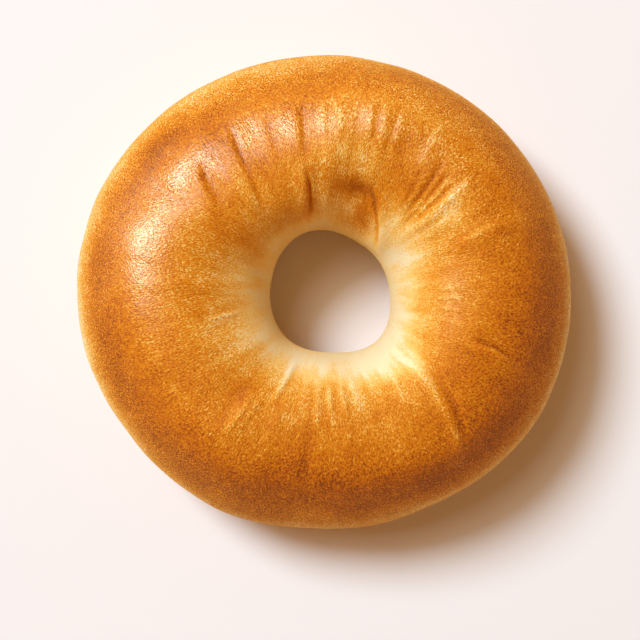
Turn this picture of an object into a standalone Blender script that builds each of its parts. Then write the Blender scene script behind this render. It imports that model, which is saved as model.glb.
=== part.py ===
"""A plain bagel: one baked ring of dough with a domed crown, a narrow hole and a flat foot.

Metres, +Z up. The origin is on the surface that the bagel lies on, under the middle of its box.
X runs along the longer side of the slightly oval ring.
"""

from math import atan2, cos, hypot, pi, radians, sin

import bmesh
import bpy
from mathutils import Vector

# Driving sizes
LENGTH = 0.110  # across the rim, along X
WIDTH = 0.1055  # across the rim, along Y
HEIGHT = 0.038  # from the foot to the top of the crown
HOLE_ACROSS = 0.0275  # mean width of the hole at its neck
HOLE_CENTRE = Vector((0.0013, -0.0004, 0.0))  # the hole sits a little off the ring's middle
RIM_HEIGHT = 0.0170  # where the rim is widest and the hole is narrowest
FOOT_PRESS = 1.14  # how far the round underside would reach below the foot, 1 being not at all

# Lobes that take an outline off the round: how many, how deep as a share of the radius,
# and the direction of the first one in degrees from +X
RIM_LOBES = ((1, 0.003, -110), (2, 0.004, -70), (4, 0.002, -13))
HOLE_LOBES = ((2, 0.044, -53), (3, 0.032, -24), (4, 0.018, 38), (5, 0.010, 32))
CROWN_LOBES = ((1, 0.012, 215), (2, 0.008, 20), (3, 0.010, 75))

# Fineness of the mesh
STEPS_ROUND_RING = 96
STEPS_ROUND_SECTION = 40

# Crust finish
CRUST_COLOUR = (0.60, 0.23, 0.045, 1.0)
CRUST_ROUGHNESS = 0.45


def clear_scene():
    """Takes away whatever the file started with."""
    for thing in list(bpy.data.objects):
        bpy.data.objects.remove(thing)


def new_collection(name):
    """A collection of that name, linked to the scene."""
    collection = bpy.data.collections.new(name)
    bpy.context.scene.collection.children.link(collection)
    return collection


def lobed(size, lobes, angle):
    """A size that swells and shrinks gently with direction."""
    return size * (1 + sum(depth * cos(count * (angle - radians(peak))) for count, depth, peak in lobes))


def rim_radius(angle):
    """From the ring's middle to its widest line, in that direction: an oval with faint lobes."""
    long_half, short_half = LENGTH / 2, WIDTH / 2
    oval = long_half * short_half / hypot(short_half * cos(angle), long_half * sin(angle))
    return lobed(oval, RIM_LOBES, angle)


def neck_point(angle):
    """Where the hole is narrowest, in that direction from the hole's own centre."""
    radius = lobed(HOLE_ACROSS / 2, HOLE_LOBES, angle)
    return HOLE_CENTRE + Vector((radius * cos(angle), radius * sin(angle), 0))


def rim_point(angle):
    """Where the rim is widest, in that direction from the ring's middle."""
    radius = rim_radius(angle)
    return Vector((radius * cos(angle), radius * sin(angle), 0))


def section_height(angle, turn):
    """Height of the surface where the section has turned that far from the rim towards the crown."""
    lift = sin(turn)
    if lift > 0:
        return RIM_HEIGHT + (lobed(HEIGHT, CROWN_LOBES, angle) - RIM_HEIGHT) * lift
    return max(0.0, RIM_HEIGHT * (1 + FOOT_PRESS * lift))


def surface_point(angle, turn):
    """A point of the crust: angle goes round the ring, turn goes round its section from the rim."""
    rim, neck = rim_point(angle), neck_point(angle)
    share = (1 + cos(turn)) / 2
    point = neck.lerp(rim, share)
    point.z = section_height(angle, turn)
    return point


def crust_material():
    """Golden brown, slightly shiny baked crust."""
    material = bpy.data.materials.new("baked_crust")
    material.use_nodes = True
    shader = material.node_tree.nodes["Principled BSDF"]
    shader.inputs["Base Color"].default_value = CRUST_COLOUR
    shader.inputs["Roughness"].default_value = CRUST_ROUGHNESS
    shader.inputs["Metallic"].default_value = 0.0
    return material


def shape_ring(mesh):
    """Moves each vertex of a torus of major radius 1 to its place on the bagel's surface."""
    for vertex in mesh.vertices:
        x, y, z = vertex.co
        angle = atan2(y, x)
        turn = atan2(z, hypot(x, y) - 1) % (2 * pi)
        vertex.co = surface_point(angle, turn)


def fit_to_sizes(mesh):
    """Makes the ring exactly as long, wide and high as stated, with its box centred on the origin."""
    for axis, size in enumerate((LENGTH, WIDTH, HEIGHT)):
        lowest = min(vertex.co[axis] for vertex in mesh.vertices)
        highest = max(vertex.co[axis] for vertex in mesh.vertices)
        middle = (lowest + highest) / 2 if axis < 2 else 0.0
        for vertex in mesh.vertices:
            vertex.co[axis] = (vertex.co[axis] - middle) * size / (highest - lowest)


def close_and_face_outwards(mesh):
    """Makes sure that every face of the closed ring points out."""
    shape = bmesh.new()
    shape.from_mesh(mesh)
    bmesh.ops.recalc_face_normals(shape, faces=shape.faces)
    shape.to_mesh(mesh)
    shape.free()


def make_bagel(collection):
    """The whole ring, one solid."""
    bpy.ops.mesh.primitive_torus_add(
        major_segments=STEPS_ROUND_RING,
        minor_segments=STEPS_ROUND_SECTION,
        major_radius=1.0,
        minor_radius=0.5,
    )
    bagel = bpy.context.active_object
    bagel.name = bagel.data.name = "bagel"
    for holder in list(bagel.users_collection):
        holder.objects.unlink(bagel)
    collection.objects.link(bagel)
    shape_ring(bagel.data)
    fit_to_sizes(bagel.data)
    close_and_face_outwards(bagel.data)
    bagel.data.materials.append(crust_material())
    bagel.data.shade_smooth()
    return bagel


def main():
    clear_scene()
    make_bagel(new_collection("bagel"))


main()
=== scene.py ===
"""A plain bagel: one baked ring with a folded, browned crust, on a pale table under a soft lamp.

Run as a script, it reads the fixed frame, makes the ring that stands for its one node and sets the
stage. Lengths are in metres, +Z is up and +X runs along the longer side of the slightly oval ring.
A place on the crust is given by its direction from the ring's middle, in degrees from +X, and by its
reach, which is 0 where the hole is narrowest and 1 where the rim is widest.
"""

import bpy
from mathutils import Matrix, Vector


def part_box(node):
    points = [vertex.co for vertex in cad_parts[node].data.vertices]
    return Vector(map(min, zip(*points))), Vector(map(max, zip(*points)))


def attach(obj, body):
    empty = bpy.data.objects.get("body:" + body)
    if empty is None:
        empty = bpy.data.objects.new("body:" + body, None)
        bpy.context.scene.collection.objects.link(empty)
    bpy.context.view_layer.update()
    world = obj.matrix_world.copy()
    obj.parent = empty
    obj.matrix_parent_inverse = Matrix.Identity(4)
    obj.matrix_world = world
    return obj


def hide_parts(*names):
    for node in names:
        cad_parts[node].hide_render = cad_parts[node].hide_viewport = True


bl_info = {
    "name": "Baked Ring",
    "version": (1, 0, 0),
    "blender": (4, 5, 0),
    "location": "3D View > Sidebar > Bagel",
    "description": "A plain bagel with a folded, browned crust, and a pale stage for it",
    "category": "Add Mesh",
}

from math import cos, pi, radians, sin, tau

import bpy
from bpy.props import FloatProperty, FloatVectorProperty, IntProperty, PointerProperty
from mathutils import Vector

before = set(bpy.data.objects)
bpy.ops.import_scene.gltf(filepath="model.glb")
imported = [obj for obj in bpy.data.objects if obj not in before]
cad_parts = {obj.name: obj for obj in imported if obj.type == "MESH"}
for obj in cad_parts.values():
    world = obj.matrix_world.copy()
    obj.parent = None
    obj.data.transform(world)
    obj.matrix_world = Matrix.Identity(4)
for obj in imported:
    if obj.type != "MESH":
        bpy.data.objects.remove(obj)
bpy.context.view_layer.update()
RING_LOW, RING_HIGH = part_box("bagel")
RING_SIZE = RING_HIGH - RING_LOW

# Lobes that take an outline off the round: how many, how deep as a share of the radius,
# and the direction of the first one in degrees
RIM_LOBES = ((1, 0.003, -110), (2, 0.004, -70), (4, 0.002, -13))
HOLE_LOBES = ((2, 0.044, -53), (3, 0.032, -24), (4, 0.018, 38), (5, 0.010, 32))
CROWN_LOBES = ((1, 0.012, 215), (2, 0.008, 20), (3, 0.010, 75))

# Where the dough spread further than its outline: direction, how far that reaches to both sides in
# degrees, and by how much in mm
SPREADS = ((-35, 24, 0.9), (246, 13, 0.8))

# Where the crown leans outwards, or towards the hole where the last number is under 0: direction,
# how far that reaches to both sides in degrees, and how far in reach
LEANS = (
    (165, 12, 0.04),
    (142, 14, -0.07),
    (118, 20, -0.13),
    (95, 14, -0.09),
    (62, 24, 0.10),
    (28, 18, 0.05),
    (-30, 34, -0.05),
    (268, 24, -0.09),
    (213, 14, -0.04),
)

# Folds that run from the hole outwards over the crown. Each has the directions of its inner and
# outer end and how far it bows between them in degrees, its inner and outer reach, how deep and how
# wide its groove is, and how high the dough swells on the side of the greater direction, in mm.
# A groove less than 0 deep is a ridge, and a swell less than 0 is on the other side.
FOLDS = (
    ("left of the hole's top", 104, 100, -4, 0.00, 0.36, 0.62, 0.45, 0.55),
    ("right of the hole's top", 38, 67, 2, 0.00, 0.29, 0.80, 0.80, -0.75),
    ("first pleat", 37, 39.5, 0, 0.21, 0.56, 0.50, 0.55, -0.25),
    ("second pleat", 39, 44, 0, 0.17, 0.62, 0.45, 0.50, -0.10),
    ("third pleat", 42.5, 48, 0, 0.21, 0.64, 0.50, 0.60, 0.0),
    ("fourth pleat", 47, 52, 0, 0.25, 0.54, 0.25, 0.50, 0.0),
    ("gather 20", 20.5, 22.5, 0, 0.30, 0.77, 0.22, 0.70, -0.15),
    ("gather 31", 31, 32, 0, 0.30, 0.58, 0.15, 0.70, 0.0),
    ("gather 60", 60, 62, 0, 0.36, 0.72, 0.15, 0.90, 0.0),
    ("gather 67", 66, 68, 0, 0.41, 0.77, 0.15, 0.70, 0.0),
    ("gather 72", 71, 74, 0, 0.41, 0.75, 0.15, 0.70, 0.0),
    ("gather 80", 78, 80, 0, 0.36, 0.75, 0.18, 0.90, 0.0),
    ("gather 97", 98, 96, 0, 0.32, 0.71, 0.30, 1.00, 0.0),
    ("gather 108", 109, 108, 0, 0.36, 0.71, 0.22, 0.90, 0.0),
    ("gather 122", 125, 119, 0, 0.20, 0.74, 0.34, 0.70, 0.10),
    ("nick 125", 125.6, 123.2, 0, 0.19, 0.38, 0.28, 0.40, 0.1),
    ("gather 129", 129, 129, 0, 0.46, 0.80, 0.14, 0.80, 0.0),
    ("crease 138", 140.5, 132, 1, 0.34, 0.66, 0.34, 1.10, 0.30),
    ("lip of crease 138", 134, 128.5, 0, 0.44, 0.66, -0.10, 0.90, 0.0),
    ("gather 148", 149, 147, 0, 0.46, 0.80, 0.12, 0.90, 0.0),
    ("nick 193", 194.5, 194.5, 0, 0.14, 0.34, -0.30, 0.50, 0.0),
    ("gather 231", 231, 231.5, 0, 0.28, 0.62, 0.20, 1.10, 0.15),
    ("streak 235", 236.2, 235.4, 0, 0.32, 0.64, -0.25, 0.50, 0.0),
    ("streak 239", 240, 238.5, 0, 0.30, 0.56, -0.15, 0.50, 0.0),
    ("ridge 246", 248.5, 245, 0, 0.05, 0.36, -0.24, 0.60, -0.12),
    ("gather 264", 265, 263, 0, 0.30, 0.77, 0.14, 1.10, 0.0),
    ("streak 282", 283.5, 277.5, 0, 0.30, 0.52, -0.10, 0.50, 0.0),
    ("ridge 316", 321, 306.5, 1.5, 0.12, 0.88, -0.46, 1.15, 0.0),
    ("beside ridge 316", 324.5, 310, 1.5, 0.22, 0.80, 0.42, 0.90, 0.20),
    ("crease -18", -18.4, -21.2, 1.0, 0.40, 0.75, 0.45, 0.50, -0.12),
    ("lip of crease -18", -19.8, -22.6, 1.0, 0.42, 0.75, -0.18, 0.45, 0.0),
    ("glint -14", -14, -14, 0, 0.21, 0.40, -0.14, 0.40, 0.0),
    ("glint -8", -8.5, -8.5, 0, 0.21, 0.40, -0.14, 0.40, 0.0),
    ("glint -3", -3.5, -3.5, 0, 0.21, 0.38, -0.16, 0.40, 0.0),
    ("glint 1", 0.7, 0.7, 0, 0.21, 0.38, -0.14, 0.40, 0.0),
    ("streak 65", 64, 66, 0, 0.46, 0.77, -0.14, 0.60, 0.0),
    ("streak 70", 69, 71.5, 0, 0.46, 0.77, -0.14, 0.50, 0.0),
    ("streak 75", 74, 76, 0, 0.48, 0.77, -0.14, 0.55, 0.0),
    ("streak 85", 84, 85, 0, 0.44, 0.75, -0.16, 0.70, 0.0),
    ("streak 90", 90, 90.5, 0, 0.42, 0.73, -0.14, 0.60, 0.0),
    ("streak 266", 266, 267, 0, 0.12, 0.46, -0.22, 0.70, 0.0),
    ("streak 273", 272, 274.5, 0, 0.14, 0.46, -0.26, 0.60, 0.0),
    ("streak 280", 279, 281, 0, 0.14, 0.40, -0.20, 0.60, 0.0),
    ("streak 288", 287, 286, 0, 0.12, 0.36, -0.16, 0.70, 0.0),
    ("streak 306", 309, 304, 0, 0.17, 0.40, -0.12, 0.55, 0.0),
    ("ridge 36", 35, 38, 0, 0.36, 0.68, -0.24, 0.80, 0.0),
    ("ridge 31", 30, 33, 0, 0.30, 0.58, -0.20, 0.70, 0.0),
    ("ridge 21", 19, 22.5, 0, 0.38, 0.70, -0.24, 0.60, 0.0),
    ("ridge 53", 52, 55, 0, 0.44, 0.80, -0.20, 0.80, 0.0),
    ("between pleats", 40.5, 42, 0, 0.25, 0.58, -0.16, 0.45, 0.0),
)
FOLD_NUMBERS = ("Inner end", "Outer end", "Bow", "Inner reach", "Outer reach")

# How brown the crust is round its section, from 0, raw, to 1, scorched: at 0 degrees is the rim, at 90
# the crown, at 180 the hole's narrowest line, and at -90 and 270 the foot
BROWNING = (
    (-90, 0.72), (-62, 0.68), (-40, 0.48), (-20, 0.28), (-5, 0.20), (14, 0.24), (26, 0.48), (36, 0.68),
    (45, 0.77), (54, 0.73), (66, 0.63), (78, 0.55), (92, 0.49), (108, 0.41), (118, 0.34), (127, 0.25),
    (136, 0.16), (146, 0.07), (160, 0.03), (181, 0.04), (192, 0.16), (206, 0.32), (225, 0.42),
    (245, 0.56), (270, 0.72),
)

# Which direction is darker, and by how much: the shoulders, darker on this side from browning and
# painted shade away from the lamp, and lighter by as much on the other side;
# the wall of the hole, darker by painted shade where it faces away from the lamp; and the rim, which
# browned more by twice its number on this side and the other alike
BROWNER_AND_SHADED_SIDE = (290, 0.13)
SHADED_WALL = (128, 0.09)
BROWNER_RIM = (90, 0.09)

# Where the crust is darker, or paler where the last number is under 0, mostly where the oven browned it
# more or less, with painted shade, painted light and painted highlight marked where they stand:
# direction, reach, half length around the ring and half width across it in mm, and by how much
PATCHES = (
    # These two darken the pocket beside the fold right of the hole's top: browning and painted shade
    (70, 0.24, 4.0, 2.6, 0.32),
    (84, 0.22, 5.0, 2.6, 0.20),
    (64, 0.09, 4.0, 3.0, 0.30),
    (62, 0.82, 15.0, 6.0, -0.07),
    (141, 0.84, 9.0, 3.5, 0.16),
    (124, 0.73, 3.5, 3.0, 0.08),
    (172, 0.86, 6.0, 3.0, 0.07),
    (186, 0.96, 20.0, 2.6, -0.16),
    (-3, 0.58, 8.0, 6.0, 0.08),
    (-44, 0.58, 6.0, 5.0, 0.17),
    (162, 0.28, 5.0, 3.5, 0.10),
    # These three pale streaks on the ridges right of the crown: paler dough and painted highlight
    (36, 0.55, 3.0, 4.5, -0.10),
    (31, 0.45, 3.0, 4.0, -0.08),
    (21, 0.53, 2.5, 5.0, -0.08),
    (54, 0.38, 5.0, 5.0, 0.10),
    (85, 0.52, 9.0, 4.0, -0.05),
    (92, 0.32, 7.0, 2.6, 0.04),
    (83, 0.41, 7.0, 3.0, -0.13),
    # These four pale the crust under the highlights on the crown: painted highlight
    (100, 0.58, 4.5, 5.0, -0.10),
    (116, 0.60, 5.0, 5.5, -0.10),
    (84, 0.58, 5.0, 5.0, -0.06),
    (142, 0.69, 5.0, 5.0, -0.08),
    # Painted shade along the side of the fold right of the hole's top
    (61, 0.18, 2.2, 3.6, 0.28),
    (150, 0.48, 6.0, 4.0, -0.08),
    (16, 0.46, 2.2, 5.0, 0.12),
    (30, 0.40, 3.5, 4.5, -0.07),
    (196, 0.46, 7.0, 5.0, 0.05),
    (232, 0.35, 2.5, 2.5, 0.14),
    (255, 0.51, 7.0, 6.0, 0.09),
    (263, 0.60, 2.4, 4.0, 0.10),
    (284, 0.84, 12.0, 4.0, 0.06),
    (318, 0.21, 5.0, 3.0, -0.12),
    (330, 0.48, 6.0, 5.0, 0.12),
    (322, 0.25, 2.2, 5.0, -0.16),
    (316, 0.12, 6.0, 4.5, -0.10),
    (325, 0.36, 1.6, 4.0, 0.14),
    (-8, 0.80, 9.0, 4.5, 0.08),
    # A paler band at the rim on the side away from the lamp: paler dough and painted light
    (-60, 0.93, 36.0, 2.8, -0.24),
    (282, 0.13, 8.0, 3.6, -0.16),
    # Paler on the shaded left wall of the hole: painted light
    (182, 0.06, 6.0, 4.0, -0.03),
    (92, 0.88, 22.0, 5.0, -0.07),
)

# Where the dough sank, or swelled where the last number is under 0: direction, reach, half length,
# half width and depth in mm
DENTS = (
    (68, 0.22, 2.6, 2.4, 1.0),
    (80, 0.20, 3.5, 2.4, 0.35),
    (114, 0.17, 4.0, 4.5, -0.45),
    (40, 0.14, 4.0, 4.0, -0.35),
    (136, 0.50, 2.4, 4.5, 0.12),
    (157, 0.71, 10.5, 8.5, 1.3),
    (141, 0.69, 3.2, 3.4, -0.28),
    (116, 0.57, 4.0, 5.5, 0.3),
    (264, 0.46, 2.5, 6.0, 0.10),
    (226, 0.36, 3.0, 4.0, 0.25),
    (25, 0.46, 2.5, 6.0, -0.25),
)

# Where the boiled skin is glossier: direction, reach, half length and half width in mm, how strongly
GLAZED = (
    (157, 0.69, 11.0, 8.5, 1.1),
    (141, 0.69, 4.0, 4.4, 1.2),
    (131, 0.58, 3.0, 5.0, 0.8),
    (116, 0.60, 4.2, 5.2, 1.05),
    (102, 0.58, 3.4, 4.8, 1.1),
    (90, 0.57, 3.4, 4.4, 0.85),
    (76, 0.60, 4.0, 4.0, 0.6),
    (178, 0.67, 8.0, 7.0, 0.6),
    (53, 0.62, 3.5, 5.0, 0.6),
    (66, 0.63, 3.0, 4.5, 0.6),
    (37, 0.56, 2.6, 4.5, 0.35),
    (0, 0.30, 8.0, 3.0, 0.35),
)

BAKE_MAP = "OFBake"

# Shape of the dough
DOUGH_RADIUS = 0.034  # from the ring's middle to the middle of the dough
SECTION_RADIUS = 0.0195  # of the dough itself
FOOT_EDGE = 0.0012  # how softly the round side turns into the flat foot
SEAM_GAP = 0.00001  # points this close are joined
CROWN_CLOSENESS = 0.3  # how much closer the mesh is on the crown than on average

# How a fold fades at its ends, by its own length from 0 to 1, and how wide and steep its swell is
FOLD_STARTS, FOLD_ENDS = (0.0, 0.3), (1.0, 0.65)
SWELL_PER_GROOVE = 1.2
SWELL_REACH = 0.0016
SWELL_TO_ONE = 2.33  # brings the top of the swell to about its stated height
FULL_GROOVE, FULL_RIDGE = 0.5, 0.25  # in mm, from where a groove or a ridge colours the crust fully

# Scales of the random patterns per metre: lumps, and gathers and wrinkles around the ring twice and
# along the lines that run out of the hole
LUMP_SCALE = 55.0
GATHER_SCALES = (230.0, 230.0, 42.0)
WRINKLE_SCALES = (620.0, 620.0, 130.0)

# Zones by reach or by lift, which is -1 at the foot, 0 at the rim's height and 1 on the crown: where
# each starts to count and where it counts fully. A zone's end counts backwards: it's where the zone
# is over and where it is still whole
LUMPED_LIFT, FOLDED_LIFT, RIM_LIFT = (-0.6, 0.2), (0.0, 0.35), (-0.6, -0.1)
GATHERS_START, GATHERS_END = (0.10, 0.30), (0.85, 0.55)
WRINKLES_START, WRINKLES_END = (0.12, 0.32), (0.75, 0.45)
SHOULDER_STARTS, SHOULDER_ENDS = (0.55, 0.80), (1.0, 0.93)
RIM_STARTS = (0.86, 0.97)
WALL_STARTS = (0.30, 0.06)
SIDE_STARTS = (0.70, 0.92)
DRAWN_STARTS = (0.84, 0.62)
BORDER_STARTS, BORDER_ENDS = (-0.03, 0.10), (0.55, 0.30)
COARSE_GRAIN_STARTS = (0.5, 0.8)
SKIN_ENDS = (0.95, 0.80)

# The crust's grain and relief: scales per metre, even and drawn along the lines, how strong its finer
# detail is, how much of it shows in colour and in relief on raw dough, on crust and on the shoulders
GRAIN_SCALE, GRAIN_LINES, GRAIN_DETAIL = 3000.0, (3200.0, 2100.0), 0.6
GRAIN_ON_DOUGH, GRAIN_ON_CRUST, GRAIN_ON_SHOULDERS = 0.36, 0.91, 0.62
RELIEF_ON_DOUGH, RELIEF_ON_CRUST, SKIN_RELIEF = 0.40, 0.60, 0.75
CRUSTY_LEVEL = (0.06, 0.48)  # how brown the dough is where it starts to be crust, and where it all is
CRUSTY_SIDE = 0.75  # the side is that much crust even where it's pale

# What else varies how dark the crust is, with its share of the way from raw to scorched: it is paler
# where glazed, as painted highlight, darker in the grooves, as painted shade, and paler on the ridges,
# partly as paler dough and partly as painted highlight. Fingers and strokes give their scales around
# and along first, and clouds give scale, detail, share everywhere and how much more on crust
GLAZE_PAINTED_HIGHLIGHT, GROOVE_PAINTED_SHADE, RIDGE_PALE_AND_HIGHLIGHT = 0.02, 0.26, 0.17
FINGERS = (((90.0, 38.0), 0.42), ((270.0, 75.0), 0.36))  # at the border of the crust
STROKES = ((120.0, 60.0), 0.16)  # over the crown
CLOUDS = ((100.0, 2.0, 0.12, 0.24), (280.0, 1.0, 0.0, 0.18), (700.0, 1.0, 0.0, 0.20))  # all over

# The crust's finish: how rough it is where dry, and how that changes on the side, where glazed and in
# the grain, how strong the boiled skin's own shine is and how much flatter its relief is where glazed,
# and how far red, green and blue light seeps
DRY_ROUGHNESS, SIDE_ROUGHER, GLAZE_SMOOTHER, GRAIN_SMOOTHER = 0.66, 0.22, 0.40, 0.3
SKIN_ON_GLAZE, SKIN_ELSEWHERE, GLAZE_FLATTER = 0.56, 0.02, 0.32
SKIN_IOR = 1.65  # how strongly the skin bends light
DUST_ROUGHNESS = 0.5
GLOW_REACH = (1.0, 0.35, 0.12)

FLOOR_HALF = 3.0  # from the middle of the table to its edges
FLOOR_ROUGHNESS, FLOOR_GLOSS = 0.9, 0.1


class Value:
    """A number or direction on its way through a node tree, which takes ordinary arithmetic."""

    def __init__(self, tree, socket):
        self.tree = tree
        self.socket = socket

    def __add__(self, other):
        return calc(self.tree, "ADD", self, other)

    __radd__ = __add__

    def __sub__(self, other):
        return calc(self.tree, "SUBTRACT", self, other)

    def __rsub__(self, other):
        return calc(self.tree, "SUBTRACT", other, self)

    def __mul__(self, other):
        return calc(self.tree, "MULTIPLY", self, other)

    __rmul__ = __mul__

    def __truediv__(self, other):
        return calc(self.tree, "DIVIDE", self, other)

    def __pow__(self, other):
        return calc(self.tree, "POWER", self, other)

    def __neg__(self):
        return calc(self.tree, "MULTIPLY", self, -1.0)


def feed(tree, socket, value):
    """Sets a socket to a plain value, or links it to another node's value."""
    if isinstance(value, Value):
        tree.links.new(value.socket, socket)
    elif value is not None:
        socket.default_value = value


def add(tree, kind, inputs=None, output=0, **settings):
    """A new node with its settings and inputs, and the value of one of its outputs."""
    node = tree.nodes.new(kind)
    for name, setting in settings.items():
        setattr(node, name, setting)
    for name, value in (inputs or {}).items():
        feed(tree, node.inputs[name], value)
    return Value(tree, node.outputs[output])


def calc(tree, operation, *values):
    """One step of arithmetic on numbers."""
    return add(tree, "ShaderNodeMath", dict(enumerate(values)), operation=operation)


def vector_calc(tree, operation, *values):
    """One step of arithmetic on directions or places."""
    return add(tree, "ShaderNodeVectorMath", dict(enumerate(values)), operation=operation)


def join_xyz(tree, x, y, z):
    """A place from its three numbers."""
    return add(tree, "ShaderNodeCombineXYZ", {"X": x, "Y": y, "Z": z})


def split_xyz(tree, place):
    """The three numbers of a place."""
    node = add(tree, "ShaderNodeSeparateXYZ", {0: place}).socket.node
    return [Value(tree, output) for output in node.outputs]


def cosine(value):
    return calc(value.tree, "COSINE", value)


def sine(value):
    return calc(value.tree, "SINE", value)


def ramp_up(tree, value, start, end):
    """Goes smoothly from 0 to 1 as the value goes from start to end."""
    inputs = {"Value": value, "From Min": start, "From Max": end, "To Min": 0.0, "To Max": 1.0}
    return add(tree, "ShaderNodeMapRange", inputs, interpolation_type="SMOOTHSTEP")


def bell(tree, distance):
    """1 where the distance is 0, and falls away on both sides like a bell."""
    return calc(tree, "EXPONENT", -(distance * distance))


def noise(tree, place, scale, detail, roughness=0.5):
    """Smooth random variation around 0, about -0.5 to 0.5."""
    inputs = {"Vector": place, "Scale": scale, "Detail": detail, "Roughness": roughness}
    return add(tree, "ShaderNodeTexNoise", inputs) - 0.5


def new_tree(name, inputs, outputs):
    """An empty node group with named inputs and outputs, and the values of its inputs."""
    tree = bpy.data.node_groups.new(name, "GeometryNodeTree")
    for title, socket_type, default in inputs:
        socket = tree.interface.new_socket(title, in_out="INPUT", socket_type=socket_type)
        if default is not None:
            socket.default_value = default
    for title, socket_type in outputs:
        tree.interface.new_socket(title, in_out="OUTPUT", socket_type=socket_type)
    entry = tree.nodes.new("NodeGroupInput")
    given = {title: Value(tree, entry.outputs[title]) for title, _, _ in inputs}
    return tree, given


def finish_tree(tree, results):
    """Links the group's results to its outputs."""
    exit_node = tree.nodes.new("NodeGroupOutput")
    for title, value in results.items():
        feed(tree, exit_node.inputs[title], value)


NUMBER, WHOLE, PLACE = "NodeSocketFloat", "NodeSocketInt", "NodeSocketVector"
SHAPE, FINISH = "NodeSocketGeometry", "NodeSocketMaterial"


def lobed(size, lobes, angle):
    """A size that swells and shrinks gently with direction."""
    total = 1.0
    for count, depth, peak in lobes:
        total = cosine((angle - radians(peak)) * count) * depth + total
    return total * size


def turn_distance(tree, angle, centre):
    """How far one direction is past another, in radians, the short way round."""
    return calc(tree, "WRAP", angle - centre, pi, -pi)


def make_fold_group():
    """One fold of the crust: how far it raises the surface, and how near a point is to its line."""
    tree, given = new_tree(
        "Crust fold",
        [
            ("Direction", NUMBER, 0.0),
            ("Reach", NUMBER, 0.0),
            ("Radius", NUMBER, DOUGH_RADIUS),
            ("Inner end", NUMBER, 0.0),
            ("Outer end", NUMBER, 0.0),
            ("Bow", NUMBER, 0.0),
            ("Inner reach", NUMBER, 0.0),
            ("Outer reach", NUMBER, 1.0),
            ("Groove depth", NUMBER, 0.0003),
            ("Groove width", NUMBER, 0.0005),
            ("Swell", NUMBER, 0.0),
        ],
        [("Height", NUMBER), ("Nearness", NUMBER)],
    )
    span = given["Outer reach"] - given["Inner reach"]
    along = (given["Reach"] - given["Inner reach"]) / span
    held = calc(tree, "MINIMUM", calc(tree, "MAXIMUM", along, 0.0), 1.0)
    middle = given["Inner end"] + (given["Outer end"] - given["Inner end"]) * held
    middle = middle + given["Bow"] * (held * (1.0 - held) * 4.0)
    aside = turn_distance(tree, given["Direction"], middle) * given["Radius"]
    fade = ramp_up(tree, along, *FOLD_STARTS) * ramp_up(tree, along, *FOLD_ENDS)
    nearness = bell(tree, aside / given["Groove width"]) * fade
    side = aside / (given["Groove width"] * SWELL_PER_GROOVE + SWELL_REACH)
    swell = side * bell(tree, side) * SWELL_TO_ONE * fade * given["Swell"]
    height = swell - nearness * given["Groove depth"]
    finish_tree(tree, {"Height": height, "Nearness": nearness})
    return tree


def make_patch_group():
    """One place on the crust: 1 at its middle, falling away to 0 around it. It serves for patches that
    browned differently and for painted shade, light and highlight, for dents and for glaze.
    """
    tree, given = new_tree(
        "Crust patch",
        [
            ("Direction", NUMBER, 0.0),
            ("Reach", NUMBER, 0.0),
            ("Radius", NUMBER, DOUGH_RADIUS),
            ("Section width", NUMBER, 0.041),
            ("Middle", NUMBER, 0.0),
            ("Middle reach", NUMBER, 0.5),
            ("Half length", NUMBER, 0.005),
            ("Half width", NUMBER, 0.005),
        ],
        [("Share", NUMBER)],
    )
    around = turn_distance(tree, given["Direction"], given["Middle"]) * given["Radius"]
    around = around / given["Half length"]
    across = (given["Reach"] - given["Middle reach"]) * given["Section width"] / given["Half width"]
    share = calc(tree, "EXPONENT", -(around * around + across * across))
    finish_tree(tree, {"Share": share})
    return tree


def use_group(tree, group, inputs):
    """A group set to work in a tree: the values of its outputs by name."""
    node = tree.nodes.new("GeometryNodeGroup")
    node.node_tree = group
    for name, value in inputs.items():
        feed(tree, node.inputs[name], value)
    return {output.name: Value(tree, output) for output in node.outputs}


def store(tree, shape, name, value, data_type="FLOAT", domain="POINT"):
    """Keeps a value on the mesh under a name."""
    inputs = {"Geometry": shape, "Name": name, "Value": value}
    return add(
        tree, "GeometryNodeStoreNamedAttribute", inputs, data_type=data_type, domain=domain
    )


def recall(tree, name, data_type="FLOAT"):
    """A value that was kept on the mesh."""
    return add(tree, "GeometryNodeInputNamedAttribute", {"Name": name}, data_type=data_type)


def section_grid(tree, given):
    """A flat grid whose rows go round the ring and whose columns go round its section."""
    inputs = {
        "Size X": 1.0,
        "Size Y": 1.0,
        "Vertices X": given["Steps round ring"] + 1,
        "Vertices Y": given["Steps round section"] + 1,
    }
    grid = add(tree, "GeometryNodeMeshGrid", inputs)
    unwrapped = Value(tree, grid.socket.node.outputs["UV Map"])
    shape = store(tree, grid, BAKE_MAP, unwrapped, "FLOAT2", "CORNER")
    x, y, _ = split_xyz(tree, add(tree, "GeometryNodeInputPosition"))
    # The rows lie closer together on the crown than on the foot
    turn = y * tau - sine(y * tau) * CROWN_CLOSENESS + pi / 2
    shape = store(tree, shape, "turn", turn)
    browned = curve(tree, turn / tau + 0.25, [(at / 360 + 0.25, level) for at, level in BROWNING])
    shape = store(tree, shape, "browned", browned)
    return store(tree, shape, "direction", (x + 0.5) * tau)


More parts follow.
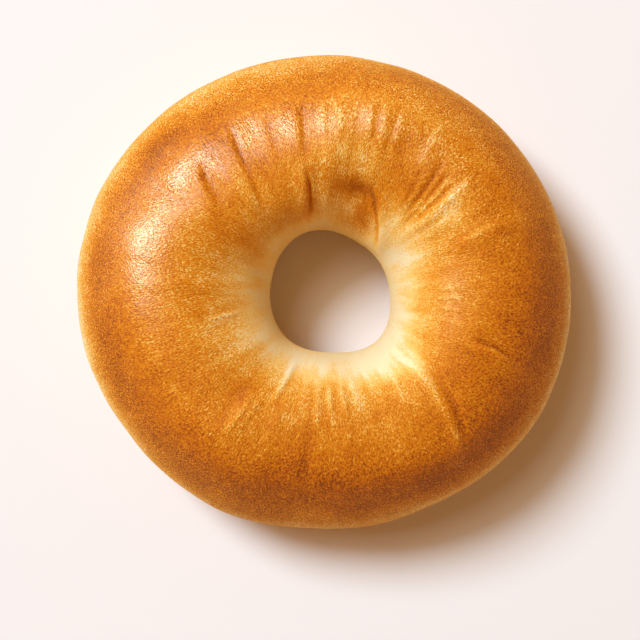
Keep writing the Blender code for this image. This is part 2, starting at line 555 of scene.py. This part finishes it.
def plain_ring(tree, given, shape):
    """Wraps the grid round into the smooth ring, without its folds, and closes its seams."""
    angle, turn = recall(tree, "direction"), recall(tree, "turn")
    away_x, away_y = cosine(angle), sine(angle)
    long_half, short_half = given["Length"] * 0.5, given["Width"] * 0.5
    flat = calc(tree, "SQRT", (away_x * short_half) ** 2.0 + (away_y * long_half) ** 2.0)
    rim = lobed(long_half * short_half / flat, RIM_LOBES, angle)
    for direction, spread, amount in SPREADS:
        aside = turn_distance(tree, angle, radians(direction)) / radians(spread)
        rim = bell(tree, aside) * (amount / 1000) + rim
    neck = lobed(given["Hole width"] * 0.5, HOLE_LOBES, angle)
    hole_x, hole_y, _ = split_xyz(tree, given["Hole centre"])
    reach = (cosine(turn) + 1.0) * 0.5
    lean = 0.0
    for direction, spread, amount in LEANS:
        aside = turn_distance(tree, angle, radians(direction)) / radians(spread)
        lean = bell(tree, aside) * amount + lean
    place = reach + lean * given["Lean"] * reach * (1.0 - reach) * 4.0
    x = (hole_x + away_x * neck) * (1.0 - place) + away_x * rim * place
    y = (hole_y + away_y * neck) * (1.0 - place) + away_y * rim * place
    lift = sine(turn)
    rise = calc(tree, "MAXIMUM", lift, 0.0)
    sink = calc(tree, "MINIMUM", lift, 0.0)
    crown = lobed(given["Height"], CROWN_LOBES, angle)
    z = given["Rim height"] + (crown - given["Rim height"]) * rise
    z = z + given["Rim height"] * given["Foot press"] * sink
    z = calc(tree, "SMOOTH_MAX", z, 0.0, FOOT_EDGE)
    position = join_xyz(tree, x, y, z)
    shape = add(tree, "GeometryNodeSetPosition", {"Geometry": shape, "Position": position})
    radius = calc(tree, "SQRT", x * x + y * y)
    shape = store(tree, shape, "reach", place)
    shape = store(tree, shape, "radius", radius)
    # Around, around, and along the section: coordinates whose pattern follows the radial lines
    past_crown = turn - pi / 2
    flow = join_xyz(
        tree, away_x * DOUGH_RADIUS, away_y * DOUGH_RADIUS, past_crown * SECTION_RADIUS
    )
    shape = store(tree, shape, "flow", flow, "FLOAT_VECTOR")
    shape = store(tree, shape, "lift", lift)
    shape = add(tree, "GeometryNodeMergeByDistance", {"Geometry": shape, "Distance": SEAM_GAP})
    # Joined points keep the mean of their two values, which is no direction, so it's found anew
    x, y, _ = split_xyz(tree, add(tree, "GeometryNodeInputPosition"))
    return store(tree, shape, "direction", calc(tree, "ARCTAN2", y, x))


def folded_height(tree, fold_group):
    """How far the folds raise each point, and how much it lies in grooves and on ridges."""
    angle, reach, radius = recall(tree, "direction"), recall(tree, "reach"), recall(tree, "radius")
    height, groove, ridge = 0.0, 0.0, 0.0
    for _, inner, outer, bow, low, high, depth, width, swell in FOLDS:
        ends = dict(zip(FOLD_NUMBERS, (radians(inner), radians(outer), radians(bow), low, high)))
        fold = use_group(tree, fold_group, {
            "Direction": angle,
            "Reach": reach,
            "Radius": radius,
            "Groove depth": depth / 1000,
            "Groove width": width / 1000,
            "Swell": swell / 1000,
            **ends,
        })
        height = fold["Height"] + height
        # Nearness to grooves later darkens the crust as painted shade; nearness to ridges pales it,
        # partly as painted highlight
        if depth > 0:
            groove = fold["Nearness"] * min(1.0, depth / FULL_GROOVE) + groove
        else:
            ridge = fold["Nearness"] * min(1.0, -depth / FULL_RIDGE) + ridge
    return height, groove, ridge


def patches(tree, patch_group, places):
    """How strongly the places of a list count at each point, all together."""
    total = 0.0
    for middle, at, length, width, strength in places:
        patch = use_group(tree, patch_group, {
            "Direction": recall(tree, "direction"),
            "Reach": recall(tree, "reach"),
            "Radius": recall(tree, "radius"),
            "Middle": radians(middle),
            "Middle reach": at,
            "Half length": length / 1000,
            "Half width": width / 1000,
        })
        total = patch["Share"] * strength + total
    return total


def curve(tree, value, points):
    """A number that follows a smooth curve through the points, as the value goes from 0 to 1."""
    found = add(tree, "ShaderNodeFloatCurve", {"Value": value})
    mapping = found.socket.node.mapping
    line = mapping.curves[0]
    while len(line.points) < len(points):
        line.points.new(1.0, 1.0)
    for point, place in zip(line.points, points):
        point.location = place
    mapping.update()
    return found


def tone_with_painted_shade(tree):
    """How dark each point is from its place round the section and round the ring, without patches:
    browning, with painted shade on the shoulders and on the hole's wall away from the lamp.
    """
    angle, reach, lift = recall(tree, "direction"), recall(tree, "reach"), recall(tree, "lift")
    # Shoulders darker away from the lamp: browning and painted shade
    side, more = BROWNER_AND_SHADED_SIDE
    shoulder = ramp_up(tree, reach, *SHOULDER_STARTS) * ramp_up(tree, reach, *SHOULDER_ENDS)
    browned = recall(tree, "browned") + cosine(angle - radians(side)) * more * shoulder
    side, more = BROWNER_RIM
    rim = (cosine((angle - radians(side)) * 2.0) + 1.0) * more
    browned = browned + rim * ramp_up(tree, reach, *RIM_STARTS) * ramp_up(tree, lift, *RIM_LIFT)
    # The hole's wall darker where it faces away from the lamp: painted shade
    side, more = SHADED_WALL
    wall = (cosine(angle - radians(side)) + 1.0) * (more / 2)
    return browned + wall * ramp_up(tree, reach, *WALL_STARTS)


def make_ring_tree(fold_group, patch_group):
    """The whole ring: a grid wrapped round, folded, lumped, browned and fitted to its sizes."""
    tree, given = new_tree(
        "Baked ring",
        [
            ("Length", NUMBER, 0.11),
            ("Width", NUMBER, 0.105),
            ("Height", NUMBER, 0.038),
            ("Hole width", NUMBER, 0.0275),
            ("Hole centre", PLACE, None),
            ("Rim height", NUMBER, 0.017),
            ("Foot press", NUMBER, 1.14),
            ("Lean", NUMBER, 1.0),
            ("Fold depth", NUMBER, 1.0),
            ("Lump depth", NUMBER, 0.0008),
            ("Gather depth", NUMBER, 0.0004),
            ("Wrinkle depth", NUMBER, 0.0001),
            ("Steps round ring", WHOLE, 480),
            ("Steps round section", WHOLE, 204),
            ("Crust", FINISH, None),
        ],
        [("Ring", SHAPE)],
    )
    shape = plain_ring(tree, given, section_grid(tree, given))
    reach, lift = recall(tree, "reach"), recall(tree, "lift")
    flow = recall(tree, "flow", "FLOAT_VECTOR")
    place = add(tree, "GeometryNodeInputPosition")
    height, groove, ridge = folded_height(tree, fold_group)
    top = ramp_up(tree, lift, *LUMPED_LIFT)
    above = ramp_up(tree, lift, *FOLDED_LIFT)
    lumps = noise(tree, place, LUMP_SCALE, 1.0) * given["Lump depth"] * 2.0
    drawn = vector_calc(tree, "MULTIPLY", flow, GATHER_SCALES)
    gathered = ramp_up(tree, reach, *GATHERS_START) * ramp_up(tree, reach, *GATHERS_END)
    gathers = noise(tree, drawn, 1.0, 1.5) * given["Gather depth"] * 2.0 * gathered
    fine = vector_calc(tree, "MULTIPLY", flow, WRINKLE_SCALES)
    wrinkled = ramp_up(tree, reach, *WRINKLES_START) * ramp_up(tree, reach, *WRINKLES_END)
    wrinkles = noise(tree, fine, 1.0, 2.0) * given["Wrinkle depth"] * 2.0 * wrinkled
    height = height * given["Fold depth"] + (gathers + wrinkles) * above
    height = height * above + lumps * top - patches(tree, patch_group, DENTS) * above / 1000.0
    normal = add(tree, "GeometryNodeInputNormal")
    offset = vector_calc(tree, "SCALE", normal)
    feed(tree, offset.socket.node.inputs["Scale"], height)
    shape = add(tree, "GeometryNodeSetPosition", {"Geometry": shape, "Offset": offset})

    # The tone: browning, painted shade on the shoulders and the hole's wall, and the patches, some of
    # them painted shade, light and highlight
    browned = tone_with_painted_shade(tree) + patches(tree, patch_group, PATCHES) * above
    shape = store(tree, shape, "browned", browned)
    shape = store(tree, shape, "glaze", patches(tree, patch_group, GLAZED) * above)
    shape = store(tree, shape, "groove", groove)
    shape = store(tree, shape, "ridge", ridge)
    for name in ("direction", "radius", "turn", "lift"):
        shape = add(tree, "GeometryNodeRemoveAttribute", {"Geometry": shape, "Name": name})
    shape = fit_to_sizes(tree, given, shape)
    shape = add(tree, "GeometryNodeSetShadeSmooth", {"Geometry": shape})
    shape = add(tree, "GeometryNodeRealizeInstances", {"Geometry": shape})
    shape = add(tree, "GeometryNodeSetMaterial", {"Geometry": shape, "Material": given["Crust"]})
    finish_tree(tree, {"Ring": shape})
    return tree


def fit_to_sizes(tree, given, shape):
    """Makes the finished ring exactly as long, wide and high as stated, with its foot at 0."""
    box = add(tree, "GeometryNodeBoundBox", {"Geometry": shape}).socket.node
    low, high = Value(tree, box.outputs["Min"]), Value(tree, box.outputs["Max"])
    low_x, low_y, _ = split_xyz(tree, low)
    high_x, high_y, high_z = split_xyz(tree, high)
    size = join_xyz(tree, given["Length"], given["Width"], given["Height"])
    across = join_xyz(tree, high_x - low_x, high_y - low_y, high_z)
    middle = join_xyz(tree, (high_x + low_x) * 0.5, (high_y + low_y) * 0.5, 0.0)
    x, y, z = split_xyz(tree, add(tree, "GeometryNodeInputPosition"))
    place = join_xyz(tree, x, y, calc(tree, "MAXIMUM", z, 0.0))
    place = vector_calc(tree, "SUBTRACT", place, middle)
    place = vector_calc(tree, "MULTIPLY", place, vector_calc(tree, "DIVIDE", size, across))
    return add(tree, "GeometryNodeSetPosition", {"Geometry": shape, "Position": place})


def blend_colours(tree, share, first, second):
    """A colour between two others: the first where the share is 0 and the second where it is 1."""
    node = tree.nodes.new("ShaderNodeMix")
    node.data_type = "RGBA"
    share_socket, first_socket, second_socket = (node.inputs[at] for at in (0, 6, 7))
    feed(tree, share_socket, share)
    for socket, colour in ((first_socket, first), (second_socket, second)):
        feed(tree, socket, colour if isinstance(colour, Value) else (*colour, 1.0))
    return Value(tree, node.outputs[2])


def colour_ramp(tree, value, stops):
    """A colour that goes through the stops as the value goes from 0 to 1."""
    node = tree.nodes.new("ShaderNodeValToRGB")
    node.color_ramp.interpolation = "EASE"
    points = node.color_ramp.elements
    while len(points) < len(stops):
        points.new(1.0)
    for point, (position, colour) in zip(points, stops):
        point.position = position
        point.color = (*colour, 1.0)
    feed(tree, node.inputs["Fac"], value)
    return Value(tree, node.outputs["Color"])


def kept(tree, name, output="Fac"):
    """A value that the ring's mesh keeps, as its crust reads it."""
    node = tree.nodes.new("ShaderNodeAttribute")
    node.attribute_name = name
    return Value(tree, node.outputs[output])


def drawn_noise(tree, scales, detail=2.0):
    """Random variation that follows the lines which run out of the hole."""
    around, along = scales
    stretched = vector_calc(tree, "MULTIPLY", kept(tree, "flow", "Vector"), (around, around, along))
    return noise(tree, stretched, 1.0, detail, GRAIN_DETAIL)


def crust_grain(tree, place, drawn):
    """The fine grain: even on the side, and drawn along the lines over the crown."""
    even = noise(tree, place, GRAIN_SCALE, 1.0, GRAIN_DETAIL)
    return even + (drawn_noise(tree, GRAIN_LINES, 1.0) - even) * drawn


def crust_level(tree, place, crusty, drawn, grain):
    """Where each point is on the way from raw to scorched, with all that varies it, painted shade and
    painted highlight among it.
    """
    browned, reach = kept(tree, "browned"), kept(tree, "reach")
    # Paler where glazed: painted highlight
    level = browned - kept(tree, "glaze") * GLAZE_PAINTED_HIGHLIGHT
    # Darker in the grooves as painted shade, paler on the ridges as paler dough and painted highlight
    level = level + kept(tree, "groove") * GROOVE_PAINTED_SHADE - kept(tree, "ridge") * RIDGE_PALE_AND_HIGHLIGHT
    border = ramp_up(tree, reach, *BORDER_STARTS) * ramp_up(tree, reach, *BORDER_ENDS)
    for scales, share in FINGERS:
        level = level + drawn_noise(tree, scales) * share * border
    for scale, detail, share, more in CLOUDS:
        level = level + noise(tree, place, scale, detail) * (crusty * more + share)
    scales, share = STROKES
    level = level + drawn_noise(tree, scales) * drawn * crusty * share
    shoulder = ramp_up(tree, reach, *COARSE_GRAIN_STARTS) * GRAIN_ON_SHOULDERS
    return level + grain * (GRAIN_ON_DOUGH + crusty * (GRAIN_ON_CRUST + shoulder))


def finish_crust(tree, shader, look, crusty, grain):
    """The crust's shine, dust, glow and relief."""
    reach = kept(tree, "reach")
    matt = ramp_up(tree, reach, *SIDE_STARTS) * SIDE_ROUGHER
    shine = calc(tree, "MINIMUM", kept(tree, "glaze"), 1.0)
    roughness = DRY_ROUGHNESS + matt - shine * GLAZE_SMOOTHER - grain * GRAIN_SMOOTHER
    feed(tree, shader.inputs["Roughness"], roughness)
    shader.inputs["Specular Tint"].default_value = (*look.shine_tint, 1.0)
    shader.inputs["Specular IOR Level"].default_value = look.gloss
    shader.inputs["Sheen Weight"].default_value = look.dust
    shader.inputs["Sheen Roughness"].default_value = DUST_ROUGHNESS
    shader.inputs["Sheen Tint"].default_value = (*look.dust_colour, 1.0)
    shader.inputs["Subsurface Weight"].default_value = look.glow
    shader.inputs["Subsurface Radius"].default_value = GLOW_REACH
    shader.inputs["Subsurface Scale"].default_value = look.glow_depth
    skin = (shine * SKIN_ON_GLAZE + SKIN_ELSEWHERE) * ramp_up(tree, reach, *SKIN_ENDS) * crusty
    feed(tree, shader.inputs["Coat Weight"], skin)
    shader.inputs["Coat Roughness"].default_value = look.skin_roughness
    shader.inputs["Coat IOR"].default_value = SKIN_IOR
    height = grain * (crusty * RELIEF_ON_CRUST + RELIEF_ON_DOUGH) * (1.0 - shine * GLAZE_FLATTER)
    skin_depth = look.grain_depth * SKIN_RELIEF
    for socket, depth in (("Normal", look.grain_depth), ("Coat Normal", skin_depth)):
        bump = add(tree, "ShaderNodeBump", {"Strength": 1.0, "Distance": depth, "Height": height})
        feed(tree, shader.inputs[socket], bump)


def make_crust(look):
    """Baked crust: pale in the hole, golden on the crown, brown on the shoulders, with a fine grain."""
    material = bpy.data.materials.new("baked_crust")
    material.use_nodes = True
    tree = material.node_tree
    shader = tree.nodes["Principled BSDF"]
    place = Value(tree, tree.nodes.new("ShaderNodeTexCoord").outputs["Object"])
    reach = kept(tree, "reach")
    crusty = ramp_up(tree, kept(tree, "browned"), *CRUSTY_LEVEL)
    crusty = calc(tree, "MAXIMUM", crusty, ramp_up(tree, reach, *SIDE_STARTS) * CRUSTY_SIDE)
    drawn = ramp_up(tree, reach, *DRAWN_STARTS)
    grain = crust_grain(tree, place, drawn)
    colour = colour_ramp(tree, crust_level(tree, place, crusty, drawn, grain), (
        (0.0, look.cream),
        (0.15, look.straw),
        (0.32, look.gold),
        (0.50, look.amber),
        (0.68, look.chestnut),
        (0.85, look.brown),
        (1.0, look.dark),
    ))
    feed(tree, shader.inputs["Base Color"], colour)
    finish_crust(tree, shader, look, crusty, grain)
    return material


def set_inputs(modifier, values):
    """Gives a modifier's named inputs their values."""
    for item in modifier.node_group.interface.items_tree:
        if item.item_type == "SOCKET" and item.in_out == "INPUT" and item.name in values:
            modifier[item.identifier] = values[item.name]


def plain_mesh(holder, name):
    """The object's finished mesh, without its modifiers, as a new piece at the origin."""
    bpy.context.view_layer.update()
    evaluated = holder.evaluated_get(bpy.context.evaluated_depsgraph_get())
    mesh = bpy.data.meshes.new_from_object(evaluated)
    mesh.name = name
    piece = bpy.data.objects.new(name, mesh)
    bpy.context.scene.collection.objects.link(piece)
    bpy.data.objects.remove(holder)
    return piece


class RingShape(bpy.types.PropertyGroup):
    """The ring's sizes."""

    length: FloatProperty(
        name="Length", description="Across the rim, along X", default=RING_SIZE.x, unit="LENGTH"
    )
    width: FloatProperty(
        name="Width", description="Across the rim, along Y", default=RING_SIZE.y, unit="LENGTH"
    )
    height: FloatProperty(
        name="Height", description="From foot to crown", default=RING_SIZE.z, unit="LENGTH"
    )
    hole_width: FloatProperty(
        name="Hole", description="Mean width of the hole", default=0.0275, unit="LENGTH"
    )
    hole_centre: FloatVectorProperty(
        name="Hole centre", description="Where the hole's middle is", default=(0.0013, -0.0004, 0.0),
        subtype="TRANSLATION", unit="LENGTH",
    )
    rim_height: FloatProperty(
        name="Rim height", description="Where the rim is widest", default=0.017, unit="LENGTH"
    )
    foot_press: FloatProperty(
        name="Foot press",
        description="How far the round underside would reach below the foot, 1 being not at all",
        default=1.14,
    )
    lean: FloatProperty(name="Lean", description="How strongly the crown leans", default=1.0)
    fold_depth: FloatProperty(name="Folds", description="Strength of the folds", default=1.25)
    lump_depth: FloatProperty(
        name="Lumps", description="Height of the soft lumps", default=0.0006, unit="LENGTH"
    )
    gather_depth: FloatProperty(
        name="Gathers", description="Depth of the random gathers", default=0.0004, unit="LENGTH"
    )
    wrinkle_depth: FloatProperty(
        name="Wrinkles", description="Depth of the fine wrinkles", default=0.00012, unit="LENGTH"
    )
    steps_round_ring: IntProperty(name="Steps round ring", description="Fineness", default=480)
    steps_round_section: IntProperty(name="Steps round section", description="Fineness", default=204)


class CrustLook(bpy.types.PropertyGroup):
    """The crust's colours and finish."""

    cream: FloatVectorProperty(
        name="Cream", description="Raw-looking dough", subtype="COLOR", default=(0.92, 0.81, 0.52)
    )
    straw: FloatVectorProperty(
        name="Straw", description="Just dried", subtype="COLOR", default=(0.94, 0.60, 0.17)
    )
    gold: FloatVectorProperty(
        name="Gold", description="Barely browned", subtype="COLOR", default=(0.80, 0.345, 0.028)
    )
    amber: FloatVectorProperty(
        name="Amber", description="Browned", subtype="COLOR", default=(0.71, 0.222, 0.0)
    )
    chestnut: FloatVectorProperty(
        name="Chestnut", description="Well browned", subtype="COLOR", default=(0.60, 0.156, 0.0)
    )
    brown: FloatVectorProperty(
        name="Brown", description="Deeply browned", subtype="COLOR", default=(0.46, 0.098, 0.0)
    )
    dark: FloatVectorProperty(
        name="Dark", description="Nearly scorched", subtype="COLOR", default=(0.26, 0.042, 0.0)
    )
    gloss: FloatProperty(name="Gloss", description="Strength of the shine", default=0.58)
    shine_tint: FloatVectorProperty(
        name="Shine tint", description="Colour of the dry shine", subtype="COLOR",
        default=(1.0, 0.82, 0.36),
    )
    skin_roughness: FloatProperty(
        name="Skin roughness", description="Of the glossy boiled skin", default=0.27
    )
    dust: FloatProperty(
        name="Flour dust", description="Soft brightness at glancing angles", default=0.28
    )
    dust_colour: FloatVectorProperty(
        name="Dust colour", description="Colour of the flour dust", subtype="COLOR",
        default=(1.0, 0.62, 0.12),
    )
    glow: FloatProperty(name="Glow", description="Share of light that seeps through", default=0.30)
    glow_depth: FloatProperty(
        name="Glow depth", description="How far the light seeps", default=0.005, unit="LENGTH"
    )
    grain_depth: FloatProperty(
        name="Grain", description="Depth of the crust's grain", default=0.00024, unit="LENGTH"
    )


class StageLook(bpy.types.PropertyGroup):
    """The floor, the lamp and the camera."""

    floor_colour: FloatVectorProperty(
        name="Floor", description="Colour of the table", subtype="COLOR", default=(0.90, 0.90, 0.90)
    )
    low_fill: FloatVectorProperty(
        name="Low fill", description="Light from low down, all round", subtype="COLOR",
        default=(0.60, 0.375, 0.19),
    )
    high_fill: FloatVectorProperty(
        name="High fill", description="Light from overhead", subtype="COLOR",
        default=(0.16, 0.045, 0.0),
    )
    lamp_colour: FloatVectorProperty(
        name="Lamp", description="Light from the softbox", subtype="COLOR", default=(0.71, 0.85, 1.0)
    )
    lamp_power: FloatProperty(name="Lamp power", description="In watts", default=82.0, unit="POWER")
    screen_colour: FloatVectorProperty(
        name="Screen", description="Light from the wide screen round the softbox", subtype="COLOR",
        default=(1.0, 0.90, 0.74),
    )
    screen_power: FloatProperty(name="Screen power", description="In watts", default=30.6, unit="POWER")
    screen_width: FloatProperty(
        name="Screen width", description="Across the screen", default=1.6, unit="LENGTH"
    )
    screen_elevation: FloatProperty(
        name="Screen elevation", description="Above the table", default=radians(58), subtype="ANGLE"
    )
    lamp_direction: FloatProperty(
        name="Lamp direction", description="From +X", default=radians(138.5), subtype="ANGLE"
    )
    lamp_elevation: FloatProperty(
        name="Lamp elevation", description="Above the table", default=radians(50.0), subtype="ANGLE"
    )
    lamp_distance: FloatProperty(
        name="Lamp distance", description="From the ring", default=3.0, unit="LENGTH"
    )
    lamp_width: FloatProperty(
        name="Lamp width", description="Across the softbox", default=1.05, unit="LENGTH"
    )
    camera_place: FloatVectorProperty(
        name="Camera", description="Where the camera is", default=(-0.0009, -0.00615, 0.374),
        subtype="TRANSLATION", unit="LENGTH",
    )
    lens: FloatProperty(name="Lens", description="Focal length in millimetres", default=90.0)


class BAGEL_OT_bake_ring(bpy.types.Operator):
    """Makes the bagel: one folded, browned ring"""

    bl_idname = "bagel.bake_ring"
    bl_label = "Bake Ring"

    def execute(self, context):
        shape, look = context.scene.ring_shape, context.scene.crust_look
        holder = bpy.data.objects.new("ring_holder", bpy.data.meshes.new("ring_holder"))
        context.scene.collection.objects.link(holder)
        modifier = holder.modifiers.new("Baked ring", "NODES")
        modifier.node_group = make_ring_tree(make_fold_group(), make_patch_group())
        set_inputs(modifier, {
            "Length": shape.length,
            "Width": shape.width,
            "Height": shape.height,
            "Hole width": shape.hole_width,
            "Hole centre": shape.hole_centre,
            "Rim height": shape.rim_height,
            "Foot press": shape.foot_press,
            "Lean": shape.lean,
            "Fold depth": shape.fold_depth,
            "Lump depth": shape.lump_depth,
            "Gather depth": shape.gather_depth,
            "Wrinkle depth": shape.wrinkle_depth,
            "Steps round ring": shape.steps_round_ring,
            "Steps round section": shape.steps_round_section,
            "Crust": make_crust(look),
        })
        piece = plain_mesh(holder, "bagel_crust")
        if not piece.data.polygons:
            raise RuntimeError("the ring came out empty")
        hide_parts("bagel")
        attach(piece, "root")
        return {"FINISHED"}


class BAGEL_OT_set_stage(bpy.types.Operator):
    """Makes the pale table, the soft lamp, the fill light and the camera"""

    bl_idname = "bagel.set_stage"
    bl_label = "Set Stage"

    def execute(self, context):
        scene, look = context.scene, context.scene.stage_look
        make_floor(scene, look)
        make_lamp(
            scene, look, "softbox", look.lamp_elevation, look.lamp_width, look.lamp_colour,
            look.lamp_power,
        )
        make_lamp(
            scene, look, "screen", look.screen_elevation, look.screen_width, look.screen_colour,
            look.screen_power,
        )
        make_fill(scene, look)
        make_camera(scene, look)
        scene.view_settings.view_transform = "Standard"
        return {"FINISHED"}


def make_floor(scene, look):
    """A plain pale table top."""
    mesh = bpy.data.meshes.new("table_top")
    corners = [
        (across * FLOOR_HALF, along * FLOOR_HALF, 0)
        for across, along in ((-1, -1), (1, -1), (1, 1), (-1, 1))
    ]
    mesh.from_pydata(corners, [], [(0, 1, 2, 3)])
    floor = bpy.data.objects.new("table_top", mesh)
    scene.collection.objects.link(floor)
    material = bpy.data.materials.new("pale_table")
    material.use_nodes = True
    shader = material.node_tree.nodes["Principled BSDF"]
    shader.inputs["Base Color"].default_value = (*look.floor_colour, 1.0)
    shader.inputs["Roughness"].default_value = FLOOR_ROUGHNESS
    shader.inputs["Specular IOR Level"].default_value = FLOOR_GLOSS
    mesh.materials.append(material)


def make_lamp(scene, look, name, elevation, width, colour, power):
    """A round soft lamp, up on the left."""
    data = bpy.data.lights.new(name, "AREA")
    data.shape = "DISK"
    data.size = width
    data.color = colour
    data.energy = power
    lamp = bpy.data.objects.new(name, data)
    flat = cos(elevation)
    towards = Vector((
        flat * cos(look.lamp_direction), flat * sin(look.lamp_direction), sin(elevation)
    ))
    lamp.location = towards * look.lamp_distance
    lamp.rotation_euler = towards.to_track_quat("Z", "Y").to_euler()
    scene.collection.objects.link(lamp)


def make_fill(scene, look):
    """Warm light from all round, dimmer overhead."""
    world = bpy.data.worlds.new("fill")
    world.use_nodes = True
    tree = world.node_tree
    direction = Value(tree, tree.nodes.new("ShaderNodeTexCoord").outputs["Generated"])
    _, _, up = split_xyz(tree, direction)
    height = calc(tree, "MAXIMUM", up, 0.0)
    colour = blend_colours(tree, height, look.low_fill, look.high_fill)
    feed(tree, tree.nodes["Background"].inputs["Color"], colour)
    scene.world = world


def make_camera(scene, look):
    """A camera that looks straight down."""
    data = bpy.data.cameras.new("camera")
    data.lens = look.lens
    camera = bpy.data.objects.new("camera", data)
    camera.location = look.camera_place
    scene.collection.objects.link(camera)
    scene.camera = camera


class BAGEL_PT_panel(bpy.types.Panel):
    """Lists the steps that make the bagel"""

    bl_idname = "BAGEL_PT_panel"
    bl_label = "Bagel"
    bl_space_type = "VIEW_3D"
    bl_region_type = "UI"
    bl_category = "Bagel"

    def draw(self, context):
        for group in (context.scene.ring_shape, context.scene.crust_look, context.scene.stage_look):
            box = self.layout.box()
            for name in group.bl_rna.properties.keys():
                if name not in ("rna_type", "name"):
                    box.prop(group, name)
        for operator in OPERATORS:
            self.layout.operator(operator.bl_idname)


OPERATORS = (BAGEL_OT_bake_ring, BAGEL_OT_set_stage)
CLASSES = (RingShape, CrustLook, StageLook, *OPERATORS, BAGEL_PT_panel)


def register():
    for cls in CLASSES:
        bpy.utils.register_class(cls)
    bpy.types.Scene.ring_shape = PointerProperty(type=RingShape)
    bpy.types.Scene.crust_look = PointerProperty(type=CrustLook)
    bpy.types.Scene.stage_look = PointerProperty(type=StageLook)


def unregister():
    for name in ("ring_shape", "crust_look", "stage_look"):
        delattr(bpy.types.Scene, name)
    for cls in reversed(CLASSES):
        bpy.utils.unregister_class(cls)


def main():
    """Makes everything in order."""
    register()
    bpy.ops.bagel.bake_ring()
    bpy.ops.bagel.set_stage()


if __name__ == "__main__":
    main()
